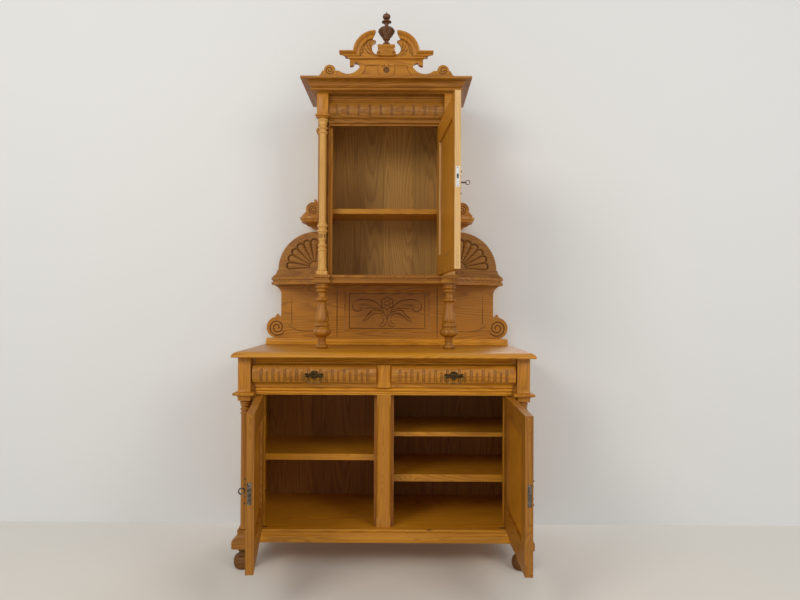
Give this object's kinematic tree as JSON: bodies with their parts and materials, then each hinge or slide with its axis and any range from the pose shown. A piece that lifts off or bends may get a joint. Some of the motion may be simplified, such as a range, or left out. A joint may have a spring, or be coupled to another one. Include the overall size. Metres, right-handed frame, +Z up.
{
  "type": "two-stage buffet cabinet",
  "caption": "Pine buffet: cupboard base with drawers and a moulded worktop, a small cupboard raised on turned balusters, fluted frieze, cornice and broken arched pediment with an urn.",
  "frame": {"origin": "on the floor, below the face of the lower front frame, at the middle of the width", "axes": "+Z up, the front looks towards -Y, +X to the right as seen from the front"},
  "size_m": [1.2, 0.9331, 2.294],
  "materials": {
    "pine_front": "waxed pine, honey orange",
    "pine_inside": "unpolished pine inside the case, dark with age",
    "pine_back": "pine boards, browner than the fronts",
    "dark_wood": "dark stained turned wood",
    "dark_steel": "dark worn steel",
    "bronze": "dark patinated brass",
    "nickel": "bright lock plate"
  },
  "bodies": {
    "cabinet": {"feet": "pine_front", "lower_columns": "pine_front", "corner_blocks": "pine_front", "lower_sides": "pine_front", "lower_back": "pine_back", "bottom_board": "pine_inside", "plinth": "pine_front", "front_frame": "pine_front", "mullion": "pine_front", "partition": "pine_inside", "drawer_frame": "pine_front", "dust_board": "pine_inside", "worktop": "pine_front", "lower_shelves": "pine_inside", "shelf_battens": "pine_inside", "frame_pivots": "dark_steel", "gallery_foot": "pine_front", "gallery_back": "pine_back", "balusters": "pine_front", "console_board": "pine_front", "shell_boards": "pine_back", "upper_carcase": "pine_front", "upper_back": "pine_back", "upper_shelf": "pine_inside", "upper_frame": "pine_front", "frieze": "pine_front", "upper_columns": "pine_front", "upper_blocks": "pine_front", "cornice": "pine_front", "crown_board": "pine_back", "crown_entablature": "pine_front", "pediment_arches": "pine_front", "pedestal": "pine_front", "urn": "dark_wood", "side_consoles": "pine_front"},
    "left_door": {"left_door_frame": "pine_front", "left_door_panel": "pine_front", "left_door_lock": "dark_steel", "left_door_escutcheon": "bronze"},
    "left_door_bolt": {"left_door_bolt": "dark_steel"},
    "left_door_key": {"left_door_key": "dark_steel"},
    "right_door": {"right_door_frame": "pine_front", "right_door_panel": "pine_front", "right_door_lock": "dark_steel", "right_door_escutcheon": "bronze"},
    "right_door_bolt": {"right_door_bolt": "dark_steel"},
    "upper_door": {"upper_door_frame": "pine_front", "upper_door_panel": "pine_front", "upper_door_lock": "nickel", "upper_door_escutcheon": "bronze"},
    "upper_door_bolt": {"upper_door_bolt": "dark_steel"},
    "upper_door_key": {"upper_door_key": "dark_steel"},
    "left_drawer": {"left_drawer_front": "pine_front", "left_drawer_box": "pine_inside", "left_drawer_plate": "bronze"},
    "left_drawer_bail": {"left_drawer_bail": "bronze"},
    "right_drawer": {"right_drawer_front": "pine_front", "right_drawer_box": "pine_inside", "right_drawer_plate": "bronze"},
    "right_drawer_bail": {"right_drawer_bail": "bronze"}
  },
  "joints": [
    {"name": "left_door_hinge", "type": "hinge", "parent": "cabinet", "child": "left_door", "pos_m": [-0.503, 0.012, 0.4], "axis": [0, 0, -1], "range_deg": [-81.2, 11.8]},
    {"name": "left_door_bolt_slide", "type": "slide", "parent": "left_door", "child": "left_door_bolt", "axis": [0.153, -0.9882, 0], "range_m": [0, 0.009]},
    {"name": "left_door_key_turn", "type": "hinge", "parent": "left_door", "child": "left_door_key", "pos_m": [-0.43477, -0.42875, 0.425], "axis": [-0.9882, -0.153, 0], "range_deg": [0, 180]},
    {"name": "right_door_hinge", "type": "hinge", "parent": "cabinet", "child": "right_door", "pos_m": [0.503, 0.012, 0.4], "axis": [0, 0, 1], "range_deg": [-88.9, 4.1]},
    {"name": "right_door_bolt_slide", "type": "slide", "parent": "right_door", "child": "right_door_bolt", "axis": [-0.0192, -0.9998, 0], "range_m": [0, 0.009]},
    {"name": "upper_door_hinge", "type": "hinge", "parent": "cabinet", "child": "upper_door", "pos_m": [0.233, 0.183, 1.5], "axis": [0, 0, 1], "range_deg": [-94.2, 0.8]},
    {"name": "upper_door_bolt_slide", "type": "slide", "parent": "upper_door", "child": "upper_door_bolt", "axis": [0.0732, -0.9973, 0], "range_m": [0, 0.009]},
    {"name": "upper_door_key_turn", "type": "hinge", "parent": "upper_door", "child": "upper_door_key", "pos_m": [0.26588, -0.26479, 1.494], "axis": [0.9973, 0.0732, 0], "range_deg": [0, 180]},
    {"name": "left_drawer_slide", "type": "slide", "parent": "cabinet", "child": "left_drawer", "axis": [0, -1, 0], "range_m": [0, 0.33]},
    {"name": "left_drawer_bail_swing", "type": "hinge", "parent": "left_drawer", "child": "left_drawer_bail", "pos_m": [-0.27825, -0.0381, 0.769], "axis": [-1, 0, 0], "range_deg": [0, 90]},
    {"name": "right_drawer_slide", "type": "slide", "parent": "cabinet", "child": "right_drawer", "axis": [0, -1, 0], "range_m": [0, 0.33]},
    {"name": "right_drawer_bail_swing", "type": "hinge", "parent": "right_drawer", "child": "right_drawer_bail", "pos_m": [0.27825, -0.0381, 0.769], "axis": [-1, 0, 0], "range_deg": [0, 90]}
  ],
  "couplings": [
    {"joint": "left_door_key_turn", "follows": "left_door_bolt_slide", "rad_per_m": 349.06},
    {"joint": "upper_door_key_turn", "follows": "upper_door_bolt_slide", "rad_per_m": 349.06}
  ]
}
